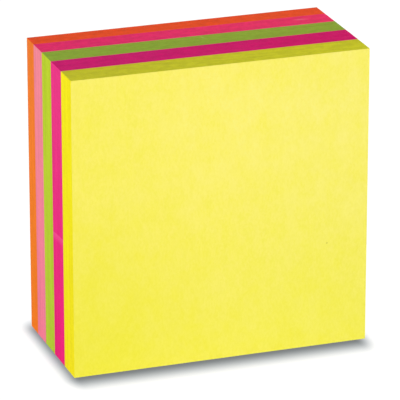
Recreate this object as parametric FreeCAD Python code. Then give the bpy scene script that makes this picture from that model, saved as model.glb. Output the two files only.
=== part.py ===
"""Sticky note block: five coloured pads of paper notes, glued one behind the other, with a backing sheet.

The block stands on its lower edge, as a pad does when its notes face the reader.
+X runs to the reader's right, +Y runs away from the reader through the stack, and +Z is up.
The origin is on the standing surface, at the middle of the block's width and depth.
All sizes are in millimetres.
"""

import os

import FreeCAD, Part

# The note: one sheet of paper, seen from the front.
NOTE_WIDTH = 75.0
NOTE_HEIGHT = 75.0
SHEET_THICKNESS = 0.0875

# How many sheets each colour has, from the front of the block to its back.
SHEETS_BY_COLOUR = {
    "yellow": 88,
    "magenta": 92,
    "green": 82,
    "pink": 75,
    "orange": 63,
}

# The strip of removable adhesive on the back of each pad's last sheet. It runs the note's whole width,
# because the paper is coated on the roll and cut afterwards, and it starts a little below the top edge.
ADHESIVE_THICKNESS = 0.04
ADHESIVE_HEIGHT = 18.0
ADHESIVE_BELOW_TOP = 1.0

# The release-coated sheet that covers the last strip.
BACKING_THICKNESS = 0.12

PARTS_FOLDER = "parts"


def pad_thickness(sheets):
    """A pad is as thick as its sheets, pressed flat on each other."""
    return sheets * SHEET_THICKNESS


def block_depth():
    """From the first note's face to the back of the backing sheet."""
    paper = sum(pad_thickness(sheets) for sheets in SHEETS_BY_COLOUR.values())
    glue = len(SHEETS_BY_COLOUR) * ADHESIVE_THICKNESS
    return paper + glue + BACKING_THICKNESS


def upright_slab(front, thickness, bottom, height):
    """A slab as wide as the note: front and bottom are where it starts along Y and Z."""
    corner = FreeCAD.Vector(-NOTE_WIDTH / 2, front, bottom)
    return Part.makeBox(NOTE_WIDTH, thickness, height, corner)


def paper_slab(front, thickness):
    """Sheets of note size: they all stand on the same lower edge."""
    return upright_slab(front, thickness, 0.0, NOTE_HEIGHT)


def adhesive_strip(front):
    """The strip lies against the sheet before it and fills the space to the sheet behind it."""
    bottom = NOTE_HEIGHT - ADHESIVE_BELOW_TOP - ADHESIVE_HEIGHT
    return upright_slab(front, ADHESIVE_THICKNESS, bottom, ADHESIVE_HEIGHT)


def note_block():
    """Every piece by name, laid from the front of the block to its back."""
    pieces = {}
    front = -block_depth() / 2
    for colour, sheets in SHEETS_BY_COLOUR.items():
        thickness = pad_thickness(sheets)
        pieces[f"{colour}_pad"] = paper_slab(front, thickness)
        front += thickness
        pieces[f"{colour}_adhesive_strip"] = adhesive_strip(front)
        front += ADHESIVE_THICKNESS
    pieces["backing_sheet"] = paper_slab(front, BACKING_THICKNESS)
    return pieces


def main():
    os.makedirs(PARTS_FOLDER, exist_ok=True)
    for name, shape in note_block().items():
        shape.exportStep(f"{PARTS_FOLDER}/{name}.step")
        box = shape.BoundBox
        print(f"{name}: {box.XLength:.3f} x {box.YLength:.3f} x {box.ZLength:.3f} mm")


main()
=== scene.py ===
# %% [markdown]
# # A block of sticky notes
#
# The object is a square block of removable notes: five pads of neon paper, one behind the other, standing on
# their lower edge. Nothing on it is complicated, so its looks rest on three things: the cut edges of some
# four hundred sheets, the soft dull surface of dyed paper, and the light.
#
# The construction is fixed already. It comes in as the frame, with every pad at its real size and place, and
# this script only dresses it. All lengths are in metres.

# %% Load the frame
import math

import bpy
import numpy as np
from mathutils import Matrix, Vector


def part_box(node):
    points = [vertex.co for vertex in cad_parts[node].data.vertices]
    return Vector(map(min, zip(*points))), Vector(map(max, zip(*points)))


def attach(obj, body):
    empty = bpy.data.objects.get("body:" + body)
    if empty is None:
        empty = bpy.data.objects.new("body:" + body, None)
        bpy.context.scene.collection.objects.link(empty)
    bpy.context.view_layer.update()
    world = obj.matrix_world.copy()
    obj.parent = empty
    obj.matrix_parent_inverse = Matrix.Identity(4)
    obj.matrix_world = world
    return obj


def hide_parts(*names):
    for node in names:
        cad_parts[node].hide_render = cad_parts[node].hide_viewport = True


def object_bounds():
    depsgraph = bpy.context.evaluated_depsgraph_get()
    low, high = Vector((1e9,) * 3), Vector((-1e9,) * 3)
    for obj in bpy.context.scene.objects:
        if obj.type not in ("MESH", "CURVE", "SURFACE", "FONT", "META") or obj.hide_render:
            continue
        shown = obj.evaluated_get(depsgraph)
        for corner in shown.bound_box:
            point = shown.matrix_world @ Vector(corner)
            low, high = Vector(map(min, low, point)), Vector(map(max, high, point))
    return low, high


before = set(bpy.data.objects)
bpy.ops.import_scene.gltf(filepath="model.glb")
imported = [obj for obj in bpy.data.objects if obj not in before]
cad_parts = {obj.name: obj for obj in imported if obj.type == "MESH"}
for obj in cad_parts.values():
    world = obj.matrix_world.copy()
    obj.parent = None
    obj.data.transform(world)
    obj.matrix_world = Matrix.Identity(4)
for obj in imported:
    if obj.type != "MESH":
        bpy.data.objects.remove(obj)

cad_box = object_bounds()
print("frame:", len(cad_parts), "nodes from", cad_box[0][:], "to", cad_box[1][:])

# %% [markdown]
# ## The stack, front to back
#
# From the reader's side the colours run yellow, magenta, green, pink, orange. Each pad has a strip of
# adhesive behind it, and a sheet of backing paper closes the last one. The number of sheets isn't written
# here: it is the pad's thickness, read from the frame, divided by the thickness of one sheet.

# %% What the stack is made of
COLOURS = ("yellow", "magenta", "green", "pink", "orange")
MILLIMETRE = 0.001
SHEET = 0.0875 * MILLIMETRE


def sheets_in(colour):
    """The pad's thickness divided by one sheet's."""
    low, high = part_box(f"{colour}_pad")
    return round((high.y - low.y) / SHEET)


for colour in COLOURS:
    print(f"{colour} pad: {sheets_in(colour)} sheets")

# %% [markdown]
# ## How to make a stack of paper
#
# A plain box would give the right silhouette and nothing else. Four hundred thin boxes would be honest, but
# they would hide most of their faces inside the stack, where nobody sees them.
#
# The way between is one closed skin. Its wall is a grid with two parameters: one runs round the note's
# outline, the other runs through the stack and visits each sheet three times, at the bottom of the groove
# before it, at the start of its edge and at the end of its edge. The first row and the last row are closed by
# the two outer sheets, which are grids too. Every corner of the grid is worked out at once with numpy, and
# one call puts the result into the mesh.

# %% The outline of a note, as numbers from -1 to 1
SIDE_STEPS = 24


def square_outline(steps):
    """Round the square from its lower left corner, anticlockwise as the reader sees it.

    Along the bottom a runs from -1 to 1 and b is -1, then a is 1 and b runs up, and so on back to the start.
    Returns a and b, each with four times steps values.
    """
    rise = np.linspace(-1, 1, steps, endpoint=False)
    ones = np.ones(steps)
    a = np.concatenate([rise, ones, -rise, -ones])
    b = np.concatenate([-ones, rise, ones, -rise])
    return a, b


print("outline:", len(square_outline(SIDE_STEPS)[0]), "steps round the note")

# %% The grid that closes an end of the stack
def end_grid(first, new, steps):
    """Vertex numbers of an end sheet's grid, (steps + 1) a side.

    Its border is the row of the wall that starts at vertex first, and the rest are new vertices from new on.
    """
    ring = first + np.arange(4 * steps + 1) % (4 * steps)
    grid = np.empty((steps + 1, steps + 1), dtype=int)
    grid[1:-1, 1:-1] = new + np.arange((steps - 1) ** 2).reshape(steps - 1, steps - 1)
    grid[0, :] = ring[: steps + 1]
    grid[:, -1] = ring[steps : 2 * steps + 1]
    grid[-1, ::-1] = ring[2 * steps : 3 * steps + 1]
    grid[::-1, 0] = ring[3 * steps :]
    return grid


def end_points(x, z, depth, steps):
    """Inner points of an end sheet: each is a straight blend between the lower edge and the upper edge."""
    across = np.arange(1, steps)
    up = (across / steps)[:, None]
    top = 3 * steps - across
    points_x = (1 - up) * x[across] + up * x[top]
    points_z = (1 - up) * z[across] + up * z[top]
    points_y = np.full_like(points_x, depth)
    return np.stack([points_x, points_y, points_z], axis=-1).reshape(-1, 3)


print("an end sheet is a grid of", end_grid(0, 4 * SIDE_STEPS, SIDE_STEPS).size, "points")

# %% A wall and two ends make a closed skin
def closed_stack(name, x, y, z, steps):
    """A mesh object from the wall's points, closed at both ends.

    x and z hold a row for each stop on the way through the stack and a column for each step round the
    outline, and y holds one depth per row. Faces point outwards: from the front of the stack the wall's quads
    run back first and then round.
    """
    rows, columns = x.shape
    wall = np.stack([x, np.repeat(y[:, None], columns, axis=1), z], axis=-1).reshape(-1, 3)
    front = end_points(x[0], z[0], y[0], steps)
    back = end_points(x[-1], z[-1], y[-1], steps)
    points = np.concatenate([wall, front, back])

    number = np.arange(rows * columns).reshape(rows, columns)
    beside = np.roll(number, -1, axis=1)
    wall_quads = np.stack([number[:-1], number[1:], beside[1:], beside[:-1]], axis=-1).reshape(-1, 4)
    front_grid = end_grid(0, len(wall), steps)
    back_grid = end_grid((rows - 1) * columns, len(wall) + len(front), steps)
    quads = [wall_quads]
    for grid, order in ((front_grid, 1), (back_grid, -1)):
        corners = [grid[:-1, :-1], grid[:-1, 1:], grid[1:, 1:], grid[1:, :-1]][::order]
        quads.append(np.stack(corners, axis=-1).reshape(-1, 4))

    mesh = bpy.data.meshes.new(name)
    mesh.from_pydata(points.tolist(), [], np.concatenate(quads).tolist())
    mesh.validate()
    mark_edges(mesh, rows, columns, steps)
    piece = bpy.data.objects.new(name, mesh)
    bpy.context.scene.collection.objects.link(piece)
    return piece


def mark_edges(mesh, rows, columns, steps):
    """Two marks on each face, for the materials: cut_edge on the whole wall, bound_edge on its upper side."""
    cut = np.zeros(len(mesh.polygons), dtype=np.float32)
    cut[: (rows - 1) * columns] = 1
    shaded_top = np.zeros((rows - 1, columns), dtype=np.float32)
    shaded_top[:, 2 * steps : 3 * steps] = 1
    shaded_top = np.concatenate([shaded_top.ravel(), np.zeros(len(cut) - shaded_top.size, dtype=np.float32)])
    for name, values in (("cut_edge", cut), ("bound_edge", shaded_top)):
        mesh.attributes.new(name, "FLOAT", "FACE").data.foreach_set("value", values)


print("a wall has", 4 * SIDE_STEPS, "faces in a row, and each end has", SIDE_STEPS ** 2)

# %% [markdown]
# ## What a guillotine leaves behind
#
# The block is cut as a whole, so its sides are flat to a few hundredths of a millimetre. What remains to be
# seen are fine lines: each sheet's edge is a little rounded, small lifts of sheets sit a hair further in or
# out, and the knife wandered very slightly along the cut. The notes are held at the top, by their adhesive,
# and are loose at the bottom, so the lines are deeper there.
#
# Every offset goes inwards from the note's true outline, so the block keeps its size. No slope is steeper
# than 45 degrees, so that a side stays in one piece when the pad is unwrapped to bake its materials.

# %% How far each sheet sits from the true outline
GROOVE_SLOPE = 0.030 * MILLIMETRE
TIGHT_GROOVE = 0.007 * MILLIMETRE
LOOSE_GROOVE = 0.013 * MILLIMETRE
LIFT_SPREAD = 0.012 * MILLIMETRE
SHEET_SPREAD = 0.0035 * MILLIMETRE
SHEETS_A_LIFT = 7


def sheet_offsets(sheets, rng):
    """One sideways offset for each sheet: a lift's sheets share one, and each sheet adds a little of its own.

    A lift ends after any sheet by chance, one time in SHEETS_A_LIFT.
    """
    lift = np.cumsum(rng.random(sheets) < 1 / SHEETS_A_LIFT)
    shared = rng.uniform(-LIFT_SPREAD, LIFT_SPREAD, lift[-1] + 1)[lift]
    return shared + rng.uniform(-SHEET_SPREAD, SHEET_SPREAD, sheets)


steepest = math.degrees(math.atan((LIFT_SPREAD + SHEET_SPREAD + LOOSE_GROOVE) / GROOVE_SLOPE))
print(f"the steepest slope between two sheets is {steepest:.1f} degrees")

# %% How the knife strayed
KNIFE_WAVE = 0.02 * MILLIMETRE
KNIFE_WAVES = (9, 14, 23)
KNIFE_DRIFT = 2


def knife_wander(sheets, columns, rng):
    """How far the knife strayed inwards, for each sheet and step of the outline.

    It is KNIFE_WAVE times half of one plus the mean of some sines. They are a few slow waves a side, whose
    phase drifts by up to KNIFE_DRIFT radians from the first sheet to the last.
    """
    round_outline = np.linspace(0, 2 * np.pi, columns, endpoint=False)
    through_stack = np.linspace(0, 1, sheets)[:, None]
    total = np.zeros((sheets, columns))
    for waves in KNIFE_WAVES:
        phase, drift = rng.uniform(0, 2 * np.pi), rng.uniform(-KNIFE_DRIFT, KNIFE_DRIFT)
        total += np.sin(waves * round_outline + phase + drift * through_stack)
    return KNIFE_WAVE * (0.5 + total / (2 * len(KNIFE_WAVES)))


deepest = 2 * (LIFT_SPREAD + SHEET_SPREAD) + KNIFE_WAVE + LOOSE_GROOVE
print(f"no point of a wall lies more than {deepest / MILLIMETRE:.3f} mm inside the note's outline")

# %% The wall of a pad
def in_rows(values):
    """Spreads one value a sheet over the wall's rows, three a sheet and one more.

    A sheet's own two rows take its value, and a groove takes the mean of the sheets on both sides.
    """
    rows = np.empty((3 * len(values) + 1, *values.shape[1:]))
    rows[1::3] = values
    rows[2::3] = values
    rows[3:-1:3] = (values[1:] + values[:-1]) / 2
    rows[0], rows[-1] = values[0], values[-1]
    return rows


def pad_wall(low, high, sheets, rng):
    """The points of a pad's wall between two corners of its box.

    Three rows a sheet: the groove before it, then the two borders of its cut edge, and one last groove. A
    point is the pad's middle, plus the sheet's offset, plus the outline's a and b times what is left of the
    half width and half height after the inset. In a groove the inset grows by the groove's depth.
    """
    a, b = square_outline(SIDE_STEPS)
    sheet_y = np.linspace(low.y, high.y, sheets + 1)
    y = np.stack([sheet_y[:-1], sheet_y[:-1] + GROOVE_SLOPE, sheet_y[1:] - GROOVE_SLOPE], axis=1).ravel()
    y = np.append(y, sheet_y[-1])

    in_groove = np.append(np.tile([1.0, 0.0, 0.0], sheets), 1.0)[:, None]
    offset_x = in_rows(sheet_offsets(sheets, rng))[:, None]
    offset_z = in_rows(sheet_offsets(sheets, rng))[:, None]
    wander = in_rows(knife_wander(sheets, len(a), rng))

    looseness = (1 - b) / 2
    groove = TIGHT_GROOVE + (LOOSE_GROOVE - TIGHT_GROOVE) * looseness
    inset = LIFT_SPREAD + SHEET_SPREAD + wander + in_groove * groove
    half_width, half_height = (high.x - low.x) / 2, (high.z - low.z) / 2
    x = (low.x + high.x) / 2 + offset_x + a * (half_width - inset)
    z = (low.z + high.z) / 2 + offset_z + b * (half_height - inset)
    return x, y, z


print("sheets with the values 1, 2 and 3 fill the rows", in_rows(np.array([1.0, 2.0, 3.0])))

# %% The five pads
def make_pad(colour, seed):
    """A colour's pad in the place of its node, as a closed stack of its sheets."""
    low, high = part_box(f"{colour}_pad")
    x, y, z = pad_wall(low, high, sheets_in(colour), np.random.default_rng(seed))
    pad = closed_stack(f"{colour}_note_pad", x, y, z, SIDE_STEPS)
    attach(pad, "root")
    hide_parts(f"{colour}_pad")
    return pad


pads = {colour: make_pad(colour, seed) for seed, colour in enumerate(COLOURS, start=11)}
for colour, pad in pads.items():
    print(f"{pad.name}: {len(pad.data.polygons)} faces, {len(pad.data.vertices)} points")

# %% [markdown]
# ## The backing sheet
#
# The last strip of adhesive would stick to the desk, so a sheet of release paper covers it. It is one thicker
# sheet with the same cut edge, and the same function makes it: a stack of one.

# %% The backing sheet
def make_backing(seed):
    """The backing sheet in the place of its node, as a stack of one sheet."""
    low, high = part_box("backing_sheet")
    x, y, z = pad_wall(low, high, 1, np.random.default_rng(seed))
    sheet = closed_stack("release_backing", x, y, z, SIDE_STEPS)
    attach(sheet, "root")
    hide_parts("backing_sheet")
    return sheet


backing = make_backing(seed=31)
print(f"{backing.name}: {len(backing.data.polygons)} faces")

# %% [markdown]
# ## The adhesive
#
# The adhesive is rolled onto the paper before the sheets are cut, in a band as wide as the note. A rolled
# coating has edges that wander a little, and it stops short of the cut, where the knife would gum up. So the
# film is the same kind of closed stack, with two rows only, and its upper and lower borders carry a slow
# wave.

# %% The five strips of adhesive
FILM_WANDER = 0.25 * MILLIMETRE
FILM_SHORT_OF_CUT = 0.15 * MILLIMETRE


def make_film(colour, seed):
    """A film of adhesive in the place of its node.

    The border's height is the box's, less a wave of two sines along the note's width, so it stays inside.
    """
    low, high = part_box(f"{colour}_adhesive_strip")
    a, b = square_outline(SIDE_STEPS)
    rng = np.random.default_rng(seed)
    slow, fast = rng.uniform(0, 2 * np.pi, 2)
    wave = FILM_WANDER * (0.5 + (np.sin(3 * a + slow) + np.sin(7 * a + fast)) / 4)
    x = (low.x + high.x) / 2 + a * ((high.x - low.x) / 2 - FILM_SHORT_OF_CUT)
    z = (low.z + high.z) / 2 + b * ((high.z - low.z) / 2 - wave)
    rows = np.array([low.y, high.y])
    film = closed_stack(f"{colour}_adhesive_film", np.stack([x, x]), rows, np.stack([z, z]), SIDE_STEPS)
    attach(film, "root")
    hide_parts(f"{colour}_adhesive_strip")
    return film


films = [make_film(colour, seed) for seed, colour in enumerate(COLOURS, start=41)]
print(len(films), "adhesive films of", len(films[0].data.polygons), "faces")

# %% [markdown]
# ## Small helpers for materials
#
# A material is a graph of nodes. Written out one by one, the nodes bury the idea, so a few helpers keep the
# recipes short. The first group adds a node, does a sum or mixes two colours. The second takes a colour as it
# looks on a screen. The third makes ramps and cloudy patterns from the piece's own coordinates, so that they
# stay put on the paper from wherever it is seen. The last dresses a shader.
#
# A mixing node has several inputs of the same name, so its colours are found by their numbers.

# %% Helpers for nodes and sums
COLOUR_A, COLOUR_B, COLOUR_OUT = 6, 7, 2


def add(tree, kind, inputs=None, **settings):
    """A new node. A value goes into the input of that name, and a socket is linked to it."""
    node = tree.nodes.new(kind)
    for name, value in settings.items():
        setattr(node, name, value)
    for name, value in (inputs or {}).items():
        if isinstance(value, bpy.types.NodeSocket):
            tree.links.new(value, node.inputs[name])
        else:
            node.inputs[name].default_value = value
    return node


def sum_of(tree, operation, first, second):
    """One step of arithmetic, such as MULTIPLY, on two numbers or sockets."""
    return add(tree, "ShaderNodeMath", {0: first, 1: second}, operation=operation).outputs[0]


def vector_step(tree, operation, first, second=(0, 0, 0)):
    """One step of arithmetic on two vectors. LENGTH gives a number and the others give a vector."""
    node = add(tree, "ShaderNodeVectorMath", {0: first, 1: second}, operation=operation)
    return node.outputs["Value" if operation == "LENGTH" else "Vector"]


def weighted(tree, *parts):
    """The sum of several sockets, each times its weight."""
    total = 0.0
    for socket, weight in parts:
        step = add(tree, "ShaderNodeMath", {0: socket, 1: weight, 2: total}, operation="MULTIPLY_ADD")
        total = step.outputs[0]
    return total


def mix(tree, factor, first, second, blend="MIX"):
    """The colour between first and second, by a factor from 0 to 1. MULTIPLY goes to their product."""
    node = add(tree, "ShaderNodeMix", {"Factor": factor, COLOUR_A: first, COLOUR_B: second},
               data_type="RGBA", blend_type=blend)
    return node.outputs[COLOUR_OUT]


def scaled(tree, colour, factor, low, high):
    """The colour times another between low and high, channel by channel."""
    return mix(tree, 1.0, colour, mix(tree, factor, low, high), "MULTIPLY")


print("a mixing node takes its colours at the inputs", COLOUR_A, "and", COLOUR_B)

# %% Helpers for colours
def linear(red, green, blue):
    """A screen colour from 0 to 255 as the linear colour that a shader takes.

    Each channel is ((c + 0.055) / 1.055) to the power 2.4, or c / 12.92 where it is nearly black.
    """
    c = np.array([red, green, blue]) / 255
    values = np.where(c > 0.04045, ((c + 0.055) / 1.055) ** 2.4, c / 12.92)
    return (*values.tolist(), 1.0)


def grey(value):
    """A colour with the same linear value in all three channels."""
    return (value, value, value, 1.0)


def shade(colour, factor):
    """The colour with each channel multiplied by the factor, and 1 at most."""
    return (*(min(1.0, channel * factor) for channel in colour[:3]), 1.0)


print(f"a screen grey of 128 is {linear(128, 128, 128)[0]:.3f} in linear light")

# %% Helpers for places and patterns
METRES_A_SEED = (1.7, 2.3, 3.1)


def millimetres(values):
    """Several lengths in millimetres, as metres."""
    return tuple(value * MILLIMETRE for value in values)


def own_coordinates(tree):
    """The piece's own coordinates, in metres. The pieces aren't moved, so they are the frame's too."""
    return add(tree, "ShaderNodeTexCoord").outputs["Object"]


def axes_of(tree, vector):
    """The three numbers of a vector, named X, Y and Z."""
    return add(tree, "ShaderNodeSeparateXYZ", {"Vector": vector}).outputs


def placed(tree, centre, turn, size):
    """The own coordinates measured from a centre, along axes turned by some degrees, in units of size."""
    node = add(tree, "ShaderNodeMapping", {
        "Vector": own_coordinates(tree),
        "Location": centre,
        "Rotation": tuple(math.radians(degrees) for degrees in turn),
        "Scale": size,
    }, vector_type="TEXTURE")
    return node.outputs["Vector"]


def noise(tree, size, stretch=(1, 1, 1), seed=0, detail=3, roughness=0.5, turn=(0, 0, 0)):
    """A cloudy pattern whose lumps are about size metres across.

    Along an axis with a stretch above one the lumps are that much longer, and turn leans them, in degrees.
    Another seed takes the pattern from another place, metres away.
    """
    far_place = tuple(seed * metres for metres in METRES_A_SEED)
    pattern = add(tree, "ShaderNodeTexNoise", {
        "Vector": placed(tree, far_place, turn, stretch),
        "Scale": 1 / size,
        "Detail": detail,
        "Roughness": roughness,
    })
    return pattern.outputs[0]


def contrast(tree, value, low, high):
    """Spreads the values between low and high over 0 to 1, smoothly at both ends."""
    node = add(tree, "ShaderNodeMapRange", {"Value": value, "From Min": low, "From Max": high},
               interpolation_type="SMOOTHSTEP")
    return node.outputs["Result"]


def ramp(tree, axis, low, high):
    """Rises from 0 to 1 between two places along an axis of the block, smoothly at both ends."""
    return contrast(tree, axes_of(tree, own_coordinates(tree))[axis], low, high)


print("a note is", *millimetres([75]), "metres wide")

# %% Helpers for a whole material
def new_material(name):
    """A material with its node tree and its one shader."""
    material = bpy.data.materials.new(name)
    material.use_nodes = True
    tree = material.node_tree
    return material, tree, tree.nodes["Principled BSDF"]


def dress(tree, shader, colour, relief, strength, depth, texture, rough):
    """Gives the shader a colour, a bump from a relief, and a roughness that follows a texture.

    The bump is depth metres high at full strength, and the roughness runs between the two values of rough.
    """
    tree.links.new(colour, shader.inputs["Base Color"])
    bump = add(tree, "ShaderNodeBump", {"Height": relief, "Strength": strength, "Distance": depth})
    tree.links.new(bump.outputs["Normal"], shader.inputs["Normal"])
    smoothest, roughest = rough
    spread = add(tree, "ShaderNodeMapRange", {"Value": texture, "To Min": smoothest, "To Max": roughest})
    tree.links.new(spread.outputs["Result"], shader.inputs["Roughness"])


# %% [markdown]
# ## Neon note paper
#
# The paper is dull and slightly soft, and its dye is strong. These things change its colour, and some of them
# are painted light or shade:
#
# - the face of a sheet is paler than its edge, because the fibres lie flat and catch more light. It has
#   clouds, mottling and a fine upright grain. A painted sheen makes it paler and bluer towards the upper
#   right, and a trace warmer on the left and bluer on the right;
# - a cut edge is deeper, with fine streaks along the sheets, because one sheet's edge differs from the next,
#   and it is a little lighter at the head of the note than at its foot, which is painted light;
# - the knife leaves faint lines across the sheets. The block is cut in one piece, so they run on from pad to
#   pad, and their pattern is the same in all five materials;
# - the upper edge is deeper again, and that darkness is painted shade, as the top gets less light than the
#   sides. It is also a little blotchy, because the adhesive there has soaked unevenly into the fibres and
#   blurs the streaks. Its colour drifts a little from left to right.
#
# The marks that the mesh carries say which is which, so one recipe serves all five colours.

# %% The face of a sheet
CLOUD = 6.0 * MILLIMETRE
MOTTLE = 1.6 * MILLIMETRE
GRAIN = 0.45 * MILLIMETRE
CLOUD_SHARE = 0.36
MOTTLE_SHARE = 0.36
GRAIN_SHARE = 0.28
CLOUD_LIMITS = (0.3, 0.7)
GRAIN_LIMITS = (0.25, 0.75)
MOTTLE_RANGE = ((0.986, 0.989, 0.71, 1.0), (1.013, 1.011, 1.29, 1.0))
GRAIN_RANGE = ((0.989, 0.988, 0.96, 1.0), (1.011, 1.012, 1.04, 1.0))


def sheet_texture(tree, seed):
    """Clouds, mottling and a fine grain that stands upright, as the fibres lie in machine-made paper.

    Returns their weighted sum and the grain alone, both from 0 to 1.
    """
    clouds = noise(tree, CLOUD, stretch=(1, 1, 1.6), seed=seed, detail=2)
    clouds = contrast(tree, clouds, *CLOUD_LIMITS)
    mottling = noise(tree, MOTTLE, stretch=(1, 1, 1.3), seed=seed + 1, detail=3)
    mottling = contrast(tree, mottling, *CLOUD_LIMITS)
    grain = noise(tree, GRAIN, stretch=(1, 1, 1.7), seed=seed + 2, detail=2)
    grain = contrast(tree, grain, *GRAIN_LIMITS)
    return weighted(tree, (clouds, CLOUD_SHARE), (mottling, MOTTLE_SHARE), (grain, GRAIN_SHARE)), grain


for channel, least, most in zip(("red", "green", "blue"), *MOTTLE_RANGE):
    print(f"the mottling changes the face's {channel} by {most / least:.2f} times at most")

# %% Painted sheen on the face
SHEEN_ACROSS = (-40 * MILLIMETRE, 5 * MILLIMETRE)
SHEEN_UP = (-8 * MILLIMETRE, 62 * MILLIMETRE)
ACROSS_SHARE = 0.37
UP_SHARE = 0.63
ACROSS_NOTE = (-37.5 * MILLIMETRE, 37.5 * MILLIMETRE)
UP_NOTE = (0.0, 75 * MILLIMETRE)
# Painted sheen: a face is a trace warmer on the left and bluer on the right.
PAINTED_SIDE_SHEEN = ((1.011, 0.999, 0.977, 1.0), (0.989, 1.001, 1.023, 1.0))


def painted_sheen(tree):
    """Painted sheen on a face: from 0 at the block's lower left to 1 at its upper right, where it is paler.
    """
    across = ramp(tree, "X", *SHEEN_ACROSS)
    up = ramp(tree, "Z", *SHEEN_UP)
    return weighted(tree, (across, ACROSS_SHARE), (up, UP_SHARE))


print(f"the height counts for {UP_SHARE:.0%} of the fading, and the side for {ACROSS_SHARE:.0%}")

# %% The cut edges
STREAK = 0.5 * MILLIMETRE
BAND = 2.0 * MILLIMETRE
KNIFE_LINE = 0.7 * MILLIMETRE
KNIFE_SEED = 7
KNIFE_TURN = (4, 0, -5)
STREAK_SHARE = 0.40
BAND_SHARE = 0.20
KNIFE_SHARE = 0.16
FUZZ_SHARE = 0.24
LINE_LIMITS = (0.36, 0.64)
SOAK = 1.5 * MILLIMETRE
SOAK_LIMITS = (0.3, 0.7)
SOAK_SHARE = 0.55
CUT_RANGE = (grey(0.91), grey(1.07))
BOUND_RANGE = (grey(0.85), grey(1.13))


def cut_lines(tree, seed):
    """Streaks and bands along the sheets, the knife's lines across them and a fine fuzz, from 0 to 1."""
    streaks = noise(tree, STREAK, stretch=(40, 1, 40), seed=seed, detail=2)
    bands = noise(tree, BAND, stretch=(30, 1, 30), seed=seed + 1, detail=1)
    knife = noise(tree, KNIFE_LINE, stretch=(1, 10, 1), seed=KNIFE_SEED,
                  detail=4, roughness=0.7, turn=KNIFE_TURN)
    fuzz = noise(tree, GRAIN, stretch=(1.5, 1, 1.5), seed=seed + 2, detail=3, roughness=0.7)
    parts = ((streaks, STREAK_SHARE), (bands, BAND_SHARE), (knife, KNIFE_SHARE), (fuzz, FUZZ_SHARE))
    return contrast(tree, weighted(tree, *parts), *LINE_LIMITS)


def soaked_lines(tree, lines, seed):
    """The same lines on the glued edge, blurred by blotches of adhesive, from 0 to 1."""
    blotches = noise(tree, SOAK, stretch=(1.5, 1, 1), seed=seed, detail=4, roughness=0.7)
    blotches = contrast(tree, blotches, *SOAK_LIMITS)
    return weighted(tree, (lines, 1 - SOAK_SHARE), (blotches, SOAK_SHARE))


for edge, (darkest, brightest) in (("cut", CUT_RANGE), ("glued", BOUND_RANGE)):
    print(f"the lines on a {edge} edge run from {darkest[0]:.2f} to {brightest[0]:.2f} of its colour")

# %% [markdown]
# ## Small marks
#
# The block in the picture isn't quite new: there is a dark speck on the front, a paler line across the
# magenta edges, sharp above and softer below, and some small rubs on top. Each is a mask, a number from 0 to
# 1 at every place, that lets another colour through. A mask is worked out from the way to its centre, in the
# piece's own coordinates.

# %% Masks for marks
RAGGED = 0.9 * MILLIMETRE
RAGGEDNESS = 1.6
SPOT_RIM = 1.9
SPOT_CORE = 0.8
RAGGED_SEED = 60
LINE_TOP = 0.12
LINE_DEPTH = (2.0, 1.0)


def spot(tree, centre, radii, turn=(0, 0, 0)):
    """A mask that is 1 inside an ellipsoid and fades to a ragged rim, where the distance passes the radii."""
    place = placed(tree, millimetres(centre), turn, millimetres(radii))
    distance = vector_step(tree, "LENGTH", place)
    rough_edge = noise(tree, RAGGED, seed=RAGGED_SEED, roughness=0.6)
    return contrast(tree, weighted(tree, (distance, 1.0), (rough_edge, RAGGEDNESS)), SPOT_RIM, SPOT_CORE)


def pale_line(tree, centre, lean, reach):
    """A mask for a paler line across the edges: sharp above, and thinning out below over reach millimetres.

    lean is the line's slope in degrees, as seen from the side. Lengths are in units of reach.
    """
    axes = axes_of(tree, placed(tree, millimetres(centre), (lean, 0, 0), millimetres((reach,) * 3)))
    fading_down = contrast(tree, axes["Z"], -1.0, 0.0)
    sharp_top = contrast(tree, axes["Z"], LINE_TOP, 0.0)
    beside = contrast(tree, axes["X"], *LINE_DEPTH)
    return sum_of(tree, "MULTIPLY", sum_of(tree, "MULTIPLY", fading_down, sharp_top), beside)


print(f"the rim of a spot is ragged by lumps of {RAGGED / MILLIMETRE:.1f} mm")

# %% The recipe for note paper
PAPER_RELIEF = 0.35
TOOTH = 0.03 * MILLIMETRE
PAPER_ROUGHNESS = (0.78, 0.9)
PAPER_SHINE = 0.15


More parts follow.
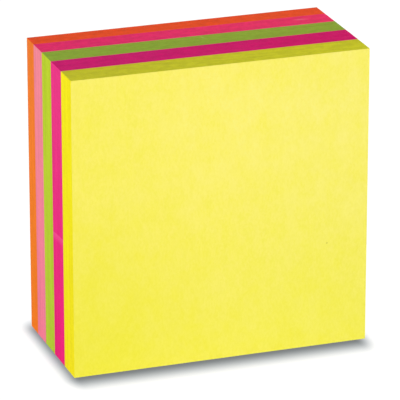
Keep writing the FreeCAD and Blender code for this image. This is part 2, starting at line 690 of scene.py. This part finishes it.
def note_paper(name, deep, pale, cut, shaded_top, seed, marks):
    """Matt dyed paper.

    deep and pale are the colours of a sheet's face, at the two ends of its painted sheen. cut has two colours
    for the cut edges, at the foot and at the head of the note, and painted light makes the head a little
    lighter. The next pair holds two colours for the glued edge, at its left and right end, both darkened as
    painted shade. Each mark is a mask's function, its arguments, a colour and how much of it shows.
    """
    material, tree, shader = new_material(name)
    is_cut = add(tree, "ShaderNodeAttribute", attribute_name="cut_edge").outputs["Fac"]
    is_bound = add(tree, "ShaderNodeAttribute", attribute_name="bound_edge").outputs["Fac"]
    across = ramp(tree, "X", *ACROSS_NOTE)
    up = ramp(tree, "Z", *UP_NOTE)

    texture, grain = sheet_texture(tree, seed)
    # Painted sheen: the face goes from deep to pale towards the upper right, and a trace bluer to the right.
    face_colour = scaled(tree, mix(tree, painted_sheen(tree), deep, pale), texture, *MOTTLE_RANGE)
    face_colour = scaled(tree, face_colour, grain, *GRAIN_RANGE)
    face_colour = scaled(tree, face_colour, across, *PAINTED_SIDE_SHEEN)

    lines = cut_lines(tree, seed + 3)
    # Painted light: the cut edges are a little lighter at the head of the note than at its foot.
    cut_colour = scaled(tree, mix(tree, up, *cut), lines, *CUT_RANGE)
    soaked = soaked_lines(tree, lines, seed + 6)
    # Painted shade: the glued top edge is darker than the sides because less light falls on the top.
    shaded_top_colour = scaled(tree, mix(tree, across, *shaded_top), soaked, *BOUND_RANGE)

    colour = mix(tree, is_cut, face_colour, mix(tree, is_bound, cut_colour, shaded_top_colour))
    for mask, arguments, tint, amount in marks:
        shown = sum_of(tree, "MULTIPLY", mask(tree, **arguments), amount)
        colour = mix(tree, shown, colour, tint)

    relief = weighted(tree, (grain, 1.0), (sum_of(tree, "MULTIPLY", lines, is_cut), 1.0))
    dress(tree, shader, colour, relief, PAPER_RELIEF, TOOTH, texture, PAPER_ROUGHNESS)
    shader.inputs["Specular IOR Level"].default_value = PAPER_SHINE
    return material


print(f"the paper's tooth is {TOOTH / MILLIMETRE:.2f} mm high and shows at {PAPER_RELIEF:.0%}")

# %% The five colours and their marks
# The top colours are darkened as painted shade, and the cut colours are lighter at the head as painted light.
PAPERS = {
    "yellow": {
        "deep": linear(242, 236, 69),
        "pale": linear(255, 243, 113),
        "cut": (linear(243, 229, 21), linear(251, 239, 15)),
        "shaded_top": (linear(205, 203, 37), linear(213, 211, 31)),
    },
    "magenta": {
        "deep": linear(240, 50, 136),
        "pale": linear(242, 74, 150),
        "cut": (linear(237, 31, 127), linear(243, 52, 138)),
        "shaded_top": (linear(214, 15, 114), linear(220, 3, 107)),
    },
    "green": {
        "deep": linear(184, 214, 58),
        "pale": linear(192, 220, 80),
        "cut": (linear(181, 205, 53), linear(194, 217, 42)),
        "shaded_top": (linear(145, 177, 54), linear(148, 175, 52)),
    },
    "pink": {
        "deep": linear(250, 134, 154),
        "pale": linear(251, 152, 170),
        "cut": (linear(244, 131, 155), linear(247, 139, 156)),
        "shaded_top": (linear(237, 40, 110), linear(250, 51, 107)),
    },
    "orange": {
        "deep": linear(250, 130, 44),
        "pale": linear(251, 144, 64),
        "cut": (linear(243, 127, 29), linear(248, 129, 43)),
        "shaded_top": (linear(243, 81, 29), linear(250, 84, 30)),
    },
}
MARKS = {
    "yellow": [
        (spot, {"centre": (27.1, -17.66, 26.5), "radii": (0.28, 0.6, 0.28)}, linear(196, 184, 60), 0.7),
    ],
    # A paler line across the magenta edges, sharp above and softer below.
    "magenta": [
        (pale_line, {"centre": (-37.5, -7.0, 32.3), "lean": -3.5, "reach": 2.2}, linear(250, 110, 168), 0.38),
    ],
    "green": [
        (spot, {"centre": (2.6, 3.7, 75.0), "radii": (0.32, 1.5, 1.0), "turn": (0, 0, 11.5)},
         linear(196, 214, 120), 0.4),
    ],
    "pink": [
        (spot, {"centre": (30.2, 9.4, 75.0), "radii": (2.2, 0.8, 1.0)}, linear(252, 140, 160), 0.35),
        (spot, {"centre": (25.2, 10.4, 75.0), "radii": (2.2, 1.4, 1.0)}, linear(214, 40, 92), 0.35),
    ],
    "orange": [],
}

for seed, colour in enumerate(COLOURS, start=1):
    paper = note_paper(f"{colour} note paper", seed=10 * seed, marks=MARKS[colour], **PAPERS[colour])
    pads[colour].data.materials.append(paper)
    print(paper.name, "has", len(paper.node_tree.nodes), "nodes and", len(MARKS[colour]), "marks of use")

# %% [markdown]
# ## Release paper and adhesive
#
# The backing is white paper with a silicone coat on the inner side: a little smoother than the notes, off
# white, with cloudy fibres. It is thin, so the strip of adhesive behind it shows through as a faint darker
# band, a little uneven at its borders. The adhesive itself is a thin clear film of tiny spheres that looks
# like frosted glass.

# %% Release paper
RELEASE_WHITE = linear(242, 239, 230)
FIBRE_SHADES = (0.96, 1.02)
BAND_FOOT = (55.6 * MILLIMETRE, 56.4 * MILLIMETRE)
BAND_HEAD = (74.3 * MILLIMETRE, 73.7 * MILLIMETRE)
BAND_WANDER = 1.2 * MILLIMETRE
BAND_TINT = (0.955, 0.955, 0.93, 1.0)
RELEASE_RELIEF = 0.3
RELEASE_ROUGHNESS = (0.5, 0.6)


def strip_behind(tree):
    """A mask for the band where the adhesive shows through: between two heights that wander a little."""
    uneven = sum_of(tree, "SUBTRACT", noise(tree, CLOUD, seed=93), 0.5)
    wander = sum_of(tree, "MULTIPLY", uneven, BAND_WANDER)
    height = sum_of(tree, "ADD", axes_of(tree, own_coordinates(tree))["Z"], wander)
    return sum_of(tree, "MULTIPLY", contrast(tree, height, *BAND_FOOT), contrast(tree, height, *BAND_HEAD))


def release_paper():
    """Off-white paper with a slight gloss, cloudy fibres and a fine tooth."""
    material, tree, shader = new_material("release paper")
    clouds = contrast(tree, noise(tree, MOTTLE, seed=91), *CLOUD_LIMITS)
    fibres = noise(tree, GRAIN, seed=92, detail=2)
    sheet = mix(tree, clouds, *(shade(RELEASE_WHITE, factor) for factor in FIBRE_SHADES))
    colour = scaled(tree, sheet, strip_behind(tree), grey(1.0), BAND_TINT)
    dress(tree, shader, colour, fibres, RELEASE_RELIEF, TOOTH, clouds, RELEASE_ROUGHNESS)
    return material


backing.data.materials.append(release_paper())
print(f"the band that shows through starts {BAND_FOOT[0] / MILLIMETRE:.1f} mm above the table")

# %% Adhesive
FILM_COLOUR = linear(222, 222, 210)
FILM_SHADES = (0.92, 1.05)
SPHERES = 0.2 * MILLIMETRE
FILM_RELIEF = 0.5
FILM_TOOTH = 0.02 * MILLIMETRE
FILM_ROUGHNESS = (0.3, 0.45)


def tacky_film():
    """A pale film with the fine grain of its microspheres."""
    material, tree, shader = new_material("tacky film")
    grain = noise(tree, SPHERES, seed=95, detail=2)
    colour = mix(tree, grain, *(shade(FILM_COLOUR, factor) for factor in FILM_SHADES))
    dress(tree, shader, colour, grain, FILM_RELIEF, FILM_TOOTH, grain, FILM_ROUGHNESS)
    return material


adhesive = tacky_film()
for film in films:
    film.data.materials.append(adhesive)
print(adhesive.name, "goes on", len(films), "films")

# %% [markdown]
# ## The table
#
# The block stands on a plain white surface, bright enough to lose its own edge. Lamps strong enough for that
# would bleach the pale yellow paper, so the camera sees the table mostly glowing by itself, while the block
# and the light see plain white paper.
#
# A table that glows takes no shadow, so its shade is worked out instead. It follows the distance to a
# rectangle under the block, and reaches further in front than beside it. The rectangle ends a little inside
# the block's outline on the left, on the right and behind, where the shade in the picture is narrower.

# %% The shade under the block
REACH_BESIDE = 5.2 * MILLIMETRE
REACH_IN_FRONT = 9.9 * MILLIMETRE
INSET_LEFT = 1.1 * MILLIMETRE
INSET_RIGHT = 2.8 * MILLIMETRE
INSET_BEHIND = 4.2 * MILLIMETRE
DARKEST = 0.215


def contact_shade(tree):
    """How open the table is to the light: DARKEST under the block, and 1 in the open.

    The distance past the rectangle is divided by a reach, across and in depth, and the shade is a smooth step
    of the length of the two.
    """
    low, high = cad_box
    left, right = low.x + INSET_LEFT, high.x - INSET_RIGHT
    front, back = low.y, high.y - INSET_BEHIND
    middle = ((left + right) / 2, (front + back) / 2, 0)
    half_size = ((right - left) / 2, (back - front) / 2, 0)
    away = vector_step(tree, "ABSOLUTE", vector_step(tree, "SUBTRACT", own_coordinates(tree), middle))
    past = vector_step(tree, "MAXIMUM", vector_step(tree, "SUBTRACT", away, half_size))
    in_reaches = vector_step(tree, "DIVIDE", past, (REACH_BESIDE, REACH_IN_FRONT, 1))
    distance = vector_step(tree, "LENGTH", in_reaches)
    return weighted(tree, (contrast(tree, distance, 0.0, 1.0), 1 - DARKEST), (1.0, DARKEST))


print(f"the shade reaches {REACH_IN_FRONT / MILLIMETRE:.1f} mm in front of the block")

# %% The floor
FLOOR_SIZE = 4.0
FLOOR_WHITE = 0.8
FLOOR_LIT = 0.15
FLOOR_GLOW = 0.95
SHADOW_TINT = (0.82, 0.91, 1.0, 1.0)


def table_material():
    """White paper for the block and the lamps, and for the camera a glow with a little lamplight on it."""
    material = bpy.data.materials.new("white table")
    material.use_nodes = True
    tree = material.node_tree
    tree.nodes.clear()
    seen = add(tree, "ShaderNodeLightPath").outputs["Is Camera Ray"]
    contact = contact_shade(tree)
    lit = mix(tree, contact, grey(0.0), grey(FLOOR_LIT))
    glow = sum_of(tree, "MULTIPLY", sum_of(tree, "MULTIPLY", contact, seen), FLOOR_GLOW)
    paper = add(tree, "ShaderNodeBsdfDiffuse", {"Color": mix(tree, seen, grey(FLOOR_WHITE), lit)})
    tint = mix(tree, contact, SHADOW_TINT, grey(1.0))
    light = add(tree, "ShaderNodeEmission", {"Color": tint, "Strength": glow})
    both = add(tree, "ShaderNodeAddShader", {0: paper.outputs["BSDF"], 1: light.outputs["Emission"]})
    output = add(tree, "ShaderNodeOutputMaterial")
    tree.links.new(both.outputs["Shader"], output.inputs["Surface"])
    return material


def make_floor():
    """A large square at the height the block stands on."""
    half = FLOOR_SIZE / 2
    corners = [(-half, -half, 0), (half, -half, 0), (half, half, 0), (-half, half, 0)]
    mesh = bpy.data.meshes.new("floor")
    mesh.from_pydata(corners, [], [(0, 1, 2, 3)])
    mesh.materials.append(table_material())
    floor = bpy.data.objects.new("floor", mesh)
    bpy.context.scene.collection.objects.link(floor)
    print(f"{floor.name}: {FLOOR_SIZE:.0f} m square")


make_floor()

# %% [markdown]
# ## Light
#
# The front of the block is the brightest side, the left side is nearly as bright, and the top is clearly
# darker. So the main light comes from low in front and from the left. It is a very large soft box and stands
# far away, which lights the front evenly. A weak lamp low on the right, behind the block, and another behind
# it keep the hidden sides from going grey, and a plain white surround fills the rest.

# %% Soft boxes
def direction(azimuth, elevation):
    """A unit vector from the block: azimuth 0 is in front and positive to the right, elevation is upwards."""
    a, e = math.radians(azimuth), math.radians(elevation)
    return np.array([math.sin(a) * math.cos(e), -math.cos(a) * math.cos(e), math.sin(e)])


def soft_box(name, azimuth, elevation, distance, size, watts):
    """A square area lamp that faces the foot of the block."""
    lamp = bpy.data.lights.new(name, "AREA")
    lamp.size = size
    lamp.energy = watts
    box = bpy.data.objects.new(name, lamp)
    place = direction(azimuth, elevation) * distance
    box.location = place
    toward = Vector((-place).tolist())
    box.rotation_euler = toward.to_track_quat("-Z", "Y").to_euler()
    bpy.context.scene.collection.objects.link(box)
    print(f"{name} lamp: {watts} W, {size} m square, {distance} m away")


soft_box("key", azimuth=-38, elevation=27, distance=2.8, size=2.6, watts=58.5)
soft_box("fill", azimuth=125, elevation=15, distance=1.6, size=0.8, watts=5.5)
soft_box("back", azimuth=180, elevation=3, distance=1.6, size=0.8, watts=6.0)

# %% The white surround
SURROUND = 0.46


def make_surround(strength):
    """A white world that lights the block evenly, and that the camera sees as plain white."""
    world = bpy.data.worlds.new("surround")
    bpy.context.scene.world = world
    world.use_nodes = True
    tree = world.node_tree
    tree.nodes.clear()
    seen = add(tree, "ShaderNodeLightPath").outputs["Is Camera Ray"]
    level = sum_of(tree, "MAXIMUM", seen, strength)
    surface = add(tree, "ShaderNodeBackground", {"Color": grey(1.0), "Strength": level})
    output = add(tree, "ShaderNodeOutputWorld")
    tree.links.new(surface.outputs["Background"], output.inputs["Surface"])


make_surround(SURROUND)
bpy.context.scene.view_settings.view_transform = "Standard"
print(f"the surround lights the block with {SURROUND:.0%} of full white")

# %% [markdown]
# ## The camera
#
# The reader looks at the block from the left and from above. The place of the camera is worked out from the
# directions of the block's edges in the picture. The upright ones are parallel there, so the camera stands
# well back, 90 centimetres away, with a long lens.

# %% Camera
AZIMUTH = -19.4
ELEVATION = 20.2
DISTANCE = 0.9
LOOK_AT = np.array([0.00065, 0.0, 0.0347])
FOCAL_LENGTH = 332.0
SENSOR = 36.0

camera_data = bpy.data.cameras.new("camera")
camera_data.lens = FOCAL_LENGTH
camera_data.sensor_width = SENSOR
camera = bpy.data.objects.new("camera", camera_data)
place = LOOK_AT + direction(AZIMUTH, ELEVATION) * DISTANCE
camera.location = place
camera.rotation_euler = Vector((LOOK_AT - place).tolist()).to_track_quat("-Z", "Y").to_euler()
bpy.context.scene.collection.objects.link(camera)
bpy.context.scene.camera = camera
print(f"the camera sees {math.degrees(2 * math.atan(SENSOR / 2 / FOCAL_LENGTH)):.1f} degrees")
